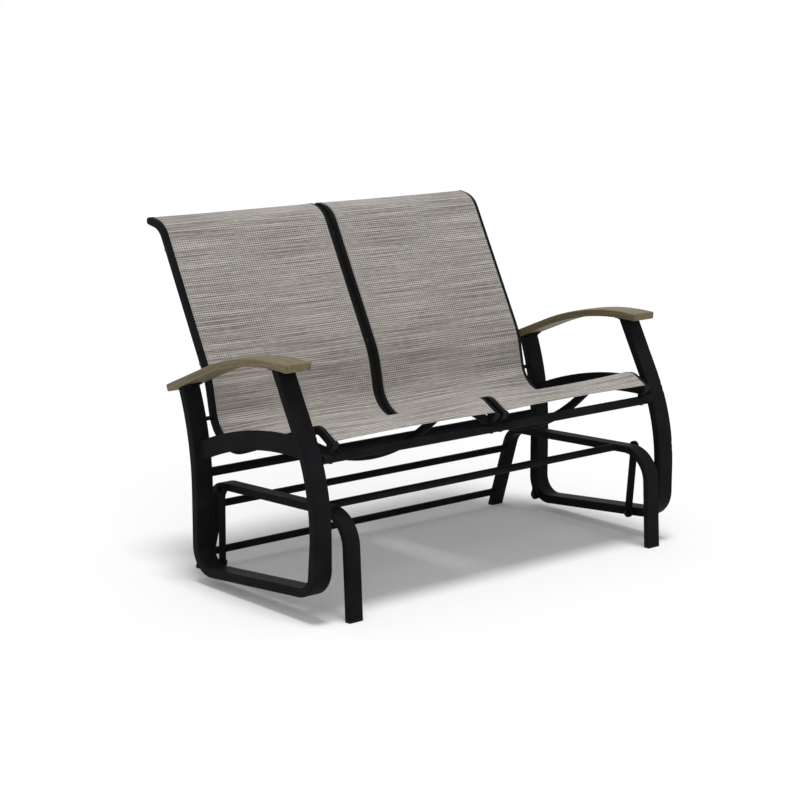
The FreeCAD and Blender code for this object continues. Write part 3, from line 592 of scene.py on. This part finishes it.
@dataclass
class Slings:
    """The two stretched slings."""

    finish: bpy.types.Material
    line: SideLine = SideLine(  # face of the seat rails, from the top to the front
        corners=(
            (498.0, 910.7), (443.5, 900.7), (243.4, 519.9),
            (206.1, 333.4), (-208.0, 471.7), (-268.0, 437.1),
        ),
        bends=(70.0, 250.0, 89.0, 45.0),
    )
    rail_middle: float = 277.75 * MM  # the seat's middle from the bench's middle
    half: float = 258.25 * MM  # from the seat's middle to the slots
    short: float = 5.0 * MM  # how far the cloth ends before the rails do
    above: float = 1.0 * MM  # the cloth's middle over the rails' face
    in_slot: float = 3.0 * MM  # how far it reaches below the face in the slots
    turn: float = 1.8 * MM  # radius of the edge's turn into the slot
    turn_steps: int = 3
    cloth: float = 1.2 * MM
    hem_hollow: float = 9.0 * MM  # how far the front edge curves in between the rails
    hem_fade: int = 12  # power by which that curve fades up the cloth
    top_hollow: float = 1.5 * MM
    top_fade: int = 13
    pulls: tuple[float, ...] = (4.0 * MM, -6.0 * MM, 11.0 * MM, -5.0 * MM)  # at the rails' bends
    pull_reach: tuple[float, ...] = (65.0 * MM, 110.0 * MM, 95.0 * MM, 50.0 * MM)
    sag: float = 3.0 * MM
    sag_power: float = 2.2  # shape of the sag between the rails
    rows: int = 300
    columns: int = 72

    def across(self) -> list[tuple[float, float, float]]:
        """Lay out the cloth's cross-section.

        Returns:
            Its points, as x from the seat's middle, height over the rails' face and length so far.
        """
        flat = self.half - self.turn
        edge = [(-self.half, -self.in_slot)]
        for step in range(self.turn_steps + 1):
            angle = math.pi / 2 * step / self.turn_steps
            x = -self.half + self.turn * (1 - math.cos(angle))
            edge.append((x, self.above - self.turn * (1 - math.sin(angle))))
        points = list(edge)
        for i in range(1, self.columns):
            points.append((-flat + 2 * flat * i / self.columns, self.above))
        points += [(-x, height) for x, height in reversed(edge)]
        section, passed = [], 0.0
        for i, (x, height) in enumerate(points):
            if i:
                passed += math.dist(points[i - 1], points[i])
            section.append((x, height, passed))
        return section

    def lift(self, length: float, share: float) -> float:
        """Height of the cloth over the straight line between the rails.

        Args:
            length: Place along the rails.
            share: Place across, from -1 to 1.

        Returns:
            Height in metres; tension pulls the cloth off a hollow bend and into a full one.
        """
        total = -self.sag
        for place, pull, reach in zip(self.line.bend_places(), self.pulls, self.pull_reach):
            total += pull * math.exp(-(((length - place) / reach) ** 2))
        return total * (1 - abs(share) ** self.sag_power)

    def build(self) -> None:
        """Build both slings."""
        whole = self.line.length()
        section = self.across()
        reach = whole - 2 * self.short
        for side in Side:
            form = bmesh.new()
            cloth_map = form.loops.layers.uv.new("cloth")
            grid, places = [], {}
            for i in range(self.rows + 1):
                down = i / self.rows
                row = []
                for x, height, passed in section:
                    share = x / self.half
                    hollow = 1 - share * share
                    from_top = self.top_hollow * hollow * (1 - down) ** self.top_fade
                    from_hem = self.hem_hollow * hollow * down ** self.hem_fade
                    length = self.short + reach * down + from_top - from_hem
                    lift = height + self.lift(length, share)
                    at = self.line.at(length)
                    vertex = form.verts.new(at.point(side.value * (self.rail_middle + x), lift))
                    places[vertex] = (passed, length)
                    row.append(vertex)
                grid.append(row)
            for upper, lower in zip(grid, grid[1:]):
                for a, b, c, d in zip(upper, upper[1:], lower[1:], lower):
                    face = form.faces.new((a, b, c, d) if side is Side.LEFT else (d, c, b, a))
                    for loop in face.loops:
                        loop[cloth_map].uv = places[loop.vert]
            mesh = bpy.data.meshes.new(f"sling_cloth_{side.word}")
            form.to_mesh(mesh)
            form.free()
            shade_smooth(mesh)
            piece = new_piece(f"sling_cloth_{side.word}", mesh, "seat", self.finish)
            thick = piece.modifiers.new("thickness", "SOLIDIFY")
            thick.thickness = self.cloth
            thick.offset = 0.0
            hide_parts(f"sling_{side.word}")


@dataclass
class Armrests:
    """The two curved armrests."""

    finish: bpy.types.Material
    inner: float = 556.5 * MM
    outer: float = 635.0 * MM
    thick: float = 20.0 * MM
    bend: float = 774.0 * MM  # radius of the top's curve
    top_y: float = -140.0 * MM  # the curve's highest place, from the middle of the feet
    top_z: float = 627.0 * MM
    front_y: float = -198.0 * MM
    slope: float = math.radians(22.0)  # fall of the straight tail behind the curve
    tail: float = 174.8 * MM
    edge: float = 3.2 * MM
    edge_steps: int = 4
    edge_angle: float = math.radians(50)  # faces that meet at more than this get an eased edge
    crown: float = 0.8 * MM  # how far the top's middle stands over its long edges
    end_grain: float = 0.25  # scale of the grain on a sawn end, where the furrows show softly
    rows: int = 64
    columns: int = 10

    def station(self, share: float) -> tuple[Vector, Vector, float]:
        """A place along the armrest's top.

        Args:
            share: Place from the front end, 0, to the rear end, 1.

        Returns:
            Its point at x = 0, its upward normal and its length from the front end.
        """
        first = math.asin((self.front_y - self.top_y) / self.bend)
        arc = self.bend * (self.slope - first)
        length = share * (arc + self.tail)
        turn = first + min(length, arc) / self.bend
        up = Vector((0.0, math.sin(turn), math.cos(turn)))
        middle = Vector((0.0, self.top_y - ORIGIN_BACK, self.top_z - self.bend))
        point = middle + up * self.bend
        point += Vector((0.0, up.z, -up.y)) * max(length - arc, 0.0)
        return point, up, length

    def build(self) -> None:
        """Build both armrests."""
        for side in Side:
            form = bmesh.new()
            grain_map = form.loops.layers.uv.new("grain")
            rings, places = [], {}
            width = self.outer - self.inner
            far = 2 * width + self.thick  # way round over the top and back under the armrest
            for i in range(self.rows + 1):
                point, up, length = self.station(i / self.rows)
                ring = []
                for under in (False, True):
                    steps = range(self.columns + 1)
                    for j in reversed(steps) if under else steps:
                        share = j / self.columns
                        x = self.inner + width * share
                        fall = self.thick if under else self.crown * (2 * share - 1) ** 2
                        place = point - up * fall
                        vertex = form.verts.new((side.value * x, place.y, place.z))
                        reach = far - width * share if under else width * share
                        places[vertex] = (length, reach)
                        ring.append(vertex)
                rings.append(ring)
            faces = []
            for ring, after in zip(rings, rings[1:]):
                count = len(ring)
                for j in range(count):
                    k = (j + 1) % count
                    faces.append(form.faces.new((ring[j], ring[k], after[k], after[j])))
            top_count = self.columns + 1
            for ring in (rings[0], rings[-1]):
                for j in range(self.columns):
                    low = 2 * top_count - 1 - j
                    faces.append(form.faces.new((ring[j], ring[j + 1], ring[low - 1], ring[low])))
            bmesh.ops.recalc_face_normals(form, faces=form.faces)
            for face in faces:
                is_end = len({places[loop.vert][0] for loop in face.loops}) == 1
                reaches = [places[loop.vert][1] for loop in face.loops]
                wraps = not is_end and max(reaches) - min(reaches) > width
                for loop in face.loops:
                    length, reach = places[loop.vert]
                    if is_end:
                        across = min(reach, far - reach) * self.end_grain
                        loop[grain_map].uv = (0.0 if reach <= width else self.thick, across)
                    elif wraps and reach < width / 2:
                        loop[grain_map].uv = (length, far + self.thick)
                    else:
                        loop[grain_map].uv = (length, reach)
            name = f"armrest_lumber_{side.word}"
            mesh = bpy.data.meshes.new(name)
            form.to_mesh(mesh)
            form.free()
            shade_smooth(mesh)
            piece = new_piece(name, mesh, "seat", self.finish)
            bevel = piece.modifiers.new("eased_edges", "BEVEL")
            bevel.width = self.edge
            bevel.segments = self.edge_steps
            bevel.limit_method = "ANGLE"
            bevel.angle_limit = self.edge_angle
            bevel.harden_normals = True
            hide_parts(f"armrest_{side.word}")
            LOG.info("armrest %s", side.word)


@dataclass
class Construction:
    """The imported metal, steel and plastic pieces, which keep their shape and get their finish."""

    finishes: dict[Coat, bpy.types.Material]
    plastic: tuple[str, ...] = (
        "foot_caps", "rail_top_caps", "rail_front_caps", "link_bushes", "sling_splines",
    )
    oxide: tuple[str, ...] = ("_bolts", "_screws", "_nuts", "_washers", "_inserts")

    def coat(self, name: str) -> Coat:
        """Choose a node's coat by its name.

        Args:
            name: The node's name.

        Returns:
            The coat.
        """
        if name.startswith(self.plastic):
            return Coat.PLASTIC
        if name.endswith(self.oxide):
            return Coat.OXIDE
        return Coat.POWDER

    def build(self) -> None:
        """Dress every node that is still shown."""
        for name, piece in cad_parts.items():
            coat = self.coat(name)
            materials = piece.data.materials
            materials.clear()
            materials.append(self.finishes[coat])
            LOG.info("%s: %s", name, coat.value)


@dataclass
class Welds:
    """Beads where tubes are welded to each other."""

    finish: bpy.types.Material
    touch: float = 0.25 * MM  # a vertex this close to the carrier lies on the seam
    seam_gap: float = 40.0 * MM  # vertices farther apart belong to different seams
    fewest: int = 6  # vertices of a seam
    sectors: int = 72  # round a seam, each with its outermost vertex
    bead: float = 1.9 * MM
    bead_step: float = 1.2 * MM
    bead_sides: int = 8
    ripple: float = 0.35 * MM
    ripple_length: float = 3.5 * MM
    pairs: tuple[tuple[str, str, str], ...] = (
        ("front_cross_beam", "arm_frame", "seat"),
        ("rear_cross_beam", "arm_frame", "seat"),
        ("side_brace", "arm_frame", "seat"),
        ("base_stretcher_front", "base_end_frame", "base"),
        ("base_stretcher_rear_upper", "base_end_frame", "base"),
        ("base_stretcher_rear_lower", "base_end_frame", "base"),
    )

    def seams(
        self, piece: bpy.types.Object, carrier: bpy.types.Object
    ) -> list[list[Vector]]:
        """Find the outlines where a piece touches its carrier.

        Args:
            piece: The welded piece.
            carrier: The piece that it is welded to.

        Returns:
            Points round each outline, in order.
        """
        tree = BVHTree.FromPolygons(
            [v.co for v in carrier.data.vertices], [p.vertices for p in carrier.data.polygons]
        )
        touching = []
        for vertex in piece.data.vertices:
            if tree.find_nearest(vertex.co, self.touch)[0] is not None:
                touching.append(vertex.co.copy())
        groups: list[list[Vector]] = []
        for point in touching:
            near = [g for g in groups if any((point - p).length < self.seam_gap for p in g)]
            merged = [point]
            for group in near:
                merged += group
                groups.remove(group)
            groups.append(merged)
        return [self.outline(group) for group in groups if len(group) >= self.fewest]

    def outline(self, points: list[Vector]) -> list[Vector]:
        """Put the outer points of a flat group in order round its middle.

        Args:
            points: The group.

        Returns:
            The outline's points.
        """
        middle = sum(points, Vector()) / len(points)
        spread = [max(p[i] for p in points) - min(p[i] for p in points) for i in range(3)]
        thin = spread.index(min(spread))
        first, second = (i for i in range(3) if i != thin)
        farthest: dict[int, tuple[float, Vector]] = {}
        for point in points:
            away = point - middle
            angle = math.atan2(away[second], away[first])
            sector = round(angle / (2 * math.pi) * self.sectors) % self.sectors
            reach = math.hypot(away[first], away[second])
            if sector not in farthest or reach > farthest[sector][0]:
                farthest[sector] = (reach, point)
        return [farthest[key][1] for key in sorted(farthest)]

    def bead_mesh(self, name: str, outline: list[Vector]) -> bpy.types.Mesh:
        """Build a rippled bead along a closed outline.

        Args:
            name: The mesh's name.
            outline: Points round the seam, in order.

        Returns:
            The bead's mesh.
        """
        middle = sum(outline, Vector()) / len(outline)
        fine: list[Vector] = []
        for point, after in zip(outline, outline[1:] + outline[:1]):
            steps = max(1, round((after - point).length / self.bead_step))
            fine += [point.lerp(after, k / steps) for k in range(steps)]
        form = bmesh.new()
        rings, passed = [], 0.0
        for i, point in enumerate(fine):
            before, after = fine[i - 1], fine[(i + 1) % len(fine)]
            along = (after - before).normalized()
            out = (point - middle).normalized()
            out = (out - along * out.dot(along)).normalized()
            side = along.cross(out)
            passed += (point - before).length
            radius = self.bead + self.ripple * abs(math.sin(math.pi * passed / self.ripple_length))
            ring = []
            for k in range(self.bead_sides):
                angle = 2 * math.pi * k / self.bead_sides
                away = out * math.cos(angle) + side * math.sin(angle)
                ring.append(form.verts.new(point + away * radius))
            rings.append(ring)
        for ring, after_ring in zip(rings, rings[1:] + rings[:1]):
            for k in range(self.bead_sides):
                n = (k + 1) % self.bead_sides
                form.faces.new((ring[k], ring[n], after_ring[n], after_ring[k]))
        bmesh.ops.recalc_face_normals(form, faces=form.faces)
        mesh = bpy.data.meshes.new(name)
        form.to_mesh(mesh)
        form.free()
        shade_smooth(mesh)
        return mesh

    def build(self) -> None:
        """Build every bead."""
        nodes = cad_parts
        for piece_name, carrier_name, body in self.pairs:
            for side in Side:
                carrier = nodes[f"{carrier_name}_{side.word}"]
                name = piece_name if piece_name in nodes else f"{piece_name}_{side.word}"
                for i, outline in enumerate(self.seams(nodes[name], carrier)):
                    bead_name = f"weld_{piece_name}_{side.word}_{i}"
                    mesh = self.bead_mesh(bead_name, outline)
                    new_piece(bead_name, mesh, body, self.finish)
                    LOG.info("%s: %d points", bead_name, len(outline))


@dataclass(frozen=True)
class Lamp:
    """Broad, distant lamp, which lights the bench and the whole floor evenly."""

    name: str
    towards: tuple[float, float, float]  # direction from the bench to the lamp
    angle: float  # how wide the lamp looks from the bench
    power: float  # light on a surface that faces the lamp, in watts per square metre

    def build(self) -> None:
        """Hang the lamp in the scene."""
        data = bpy.data.lights.new(self.name, "SUN")
        data.angle = self.angle
        data.energy = self.power
        lamp = bpy.data.objects.new(self.name, data)
        lamp.location = self.towards
        lamp.rotation_euler = Vector(self.towards).to_track_quat("Z", "Y").to_euler()
        bpy.context.scene.collection.objects.link(lamp)


@dataclass
class Studio:
    """White floor, soft lights and the camera."""

    floor_size: float = 300.0  # wide enough to fill the view up to the horizon
    floor_tone: str = "#f8f8f8"
    floor_glow: float = 0.06  # lifts the lit floor to white where the camera or a mirror sees it
    white: str = "#ffffff"
    sky: float = 0.4  # fill light that the surroundings cast on the bench
    lamps: tuple[Lamp, ...] = (
        Lamp("overhead", (-0.1, -0.2, 3.0), math.radians(17.0), 1.8),
        Lamp("front_fill", (-1.6, -2.8, 1.8), math.radians(50.0), 0.45),
    )
    azimuth: float = math.radians(-40.28)
    elevation: float = math.radians(11.443)
    eye: tuple[float, float, float] = (-3.5813, -4.0927 - ORIGIN_BACK, 1.5299)
    focal_px: float = 2096.6
    image_px: int = 800
    sensor_mm: float = 36.0
    sight: float = 100.0  # how far the camera sees

    def background_rays(self, tree: bpy.types.NodeTree) -> bpy.types.NodeSocket:
        """Whether a ray comes from the camera, a glossy surface or a clear one.

        Args:
            tree: Node tree of the floor or the world.

        Returns:
            Output that is 1 for such a ray.
        """
        path = add(tree, "ShaderNodeLightPath").outputs
        either = {"operation": "MAXIMUM"}
        kinds = {0: path["Is Glossy Ray"], 1: path["Is Transmission Ray"]}
        mirror = add(tree, "ShaderNodeMath", either, kinds).outputs[0]
        seen = {0: path["Is Camera Ray"], 1: mirror}
        return add(tree, "ShaderNodeMath", either, seen).outputs[0]

    def floor(self) -> None:
        """Pale floor that catches the bench's shadow."""
        half = self.floor_size / 2
        mesh = bpy.data.meshes.new("floor")
        corners = [(-half, -half, 0), (half, -half, 0), (half, half, 0), (-half, half, 0)]
        mesh.from_pydata(corners, [], [(0, 1, 2, 3)])
        floor = bpy.data.objects.new("floor", mesh)
        bpy.context.scene.collection.objects.link(floor)
        material = bpy.data.materials.new("painted_floor")
        material.use_nodes = True
        tree = material.node_tree
        tree.nodes.clear()
        matt = add(tree, "ShaderNodeBsdfDiffuse", {"Color": linear(self.floor_tone)})
        lift = {"Color": linear(self.white), "Strength": self.floor_glow}
        glow = add(tree, "ShaderNodeEmission", lift)
        both = add(tree, "ShaderNodeAddShader", None, {0: matt.outputs[0], 1: glow.outputs[0]})
        choice = {0: self.background_rays(tree), 1: matt.outputs[0], 2: both.outputs[0]}
        surface = add(tree, "ShaderNodeMixShader", None, choice)
        add(tree, "ShaderNodeOutputMaterial", None, {"Surface": surface.outputs[0]})
        mesh.materials.append(material)

    def world(self) -> None:
        """White surroundings for the camera and for reflections, and a soft fill for the rest."""
        world = bpy.data.worlds.new("studio")
        world.use_nodes = True
        tree = world.node_tree
        tree.nodes.clear()
        tone = linear(self.white)
        fill = add(tree, "ShaderNodeBackground", {"Color": tone, "Strength": self.sky})
        plain = add(tree, "ShaderNodeBackground", {"Color": tone, "Strength": 1.0})
        choice = {0: self.background_rays(tree), 1: fill.outputs[0], 2: plain.outputs[0]}
        surface = add(tree, "ShaderNodeMixShader", None, choice)
        add(tree, "ShaderNodeOutputWorld", None, {"Surface": surface.outputs[0]})
        bpy.context.scene.world = world

    def camera(self) -> None:
        """Camera at the photograph's place, with its direction and its angle of view."""
        data = bpy.data.cameras.new("camera")
        data.sensor_width = self.sensor_mm
        data.lens = self.focal_px / self.image_px * self.sensor_mm
        data.clip_end = self.sight
        camera = bpy.data.objects.new("camera", data)
        camera.location = self.eye
        camera.rotation_euler = (math.pi / 2 - self.elevation, 0.0, self.azimuth)
        bpy.context.scene.collection.objects.link(camera)
        bpy.context.scene.camera = camera

    def build(self) -> None:
        """Set up the whole studio."""
        bpy.context.scene.view_settings.view_transform = "Standard"
        self.floor()
        self.world()
        for lamp in self.lamps:
            lamp.build()
        self.camera()


def main() -> None:
    """Build the whole scene in order."""
    logging.basicConfig(level=logging.INFO, format="%(name)s: %(message)s")
    powder = PowderCoat().make()
    oxide = BlackOxide().make()
    plastic = MouldedPlastic().make()
    Construction({Coat.POWDER: powder, Coat.OXIDE: oxide, Coat.PLASTIC: plastic}).build()
    Slings(WovenSling().make()).build()
    Armrests(GrainedPolymer().make()).build()
    Welds(powder).build()
    Studio().build()


if __name__ == "__main__":
    main()
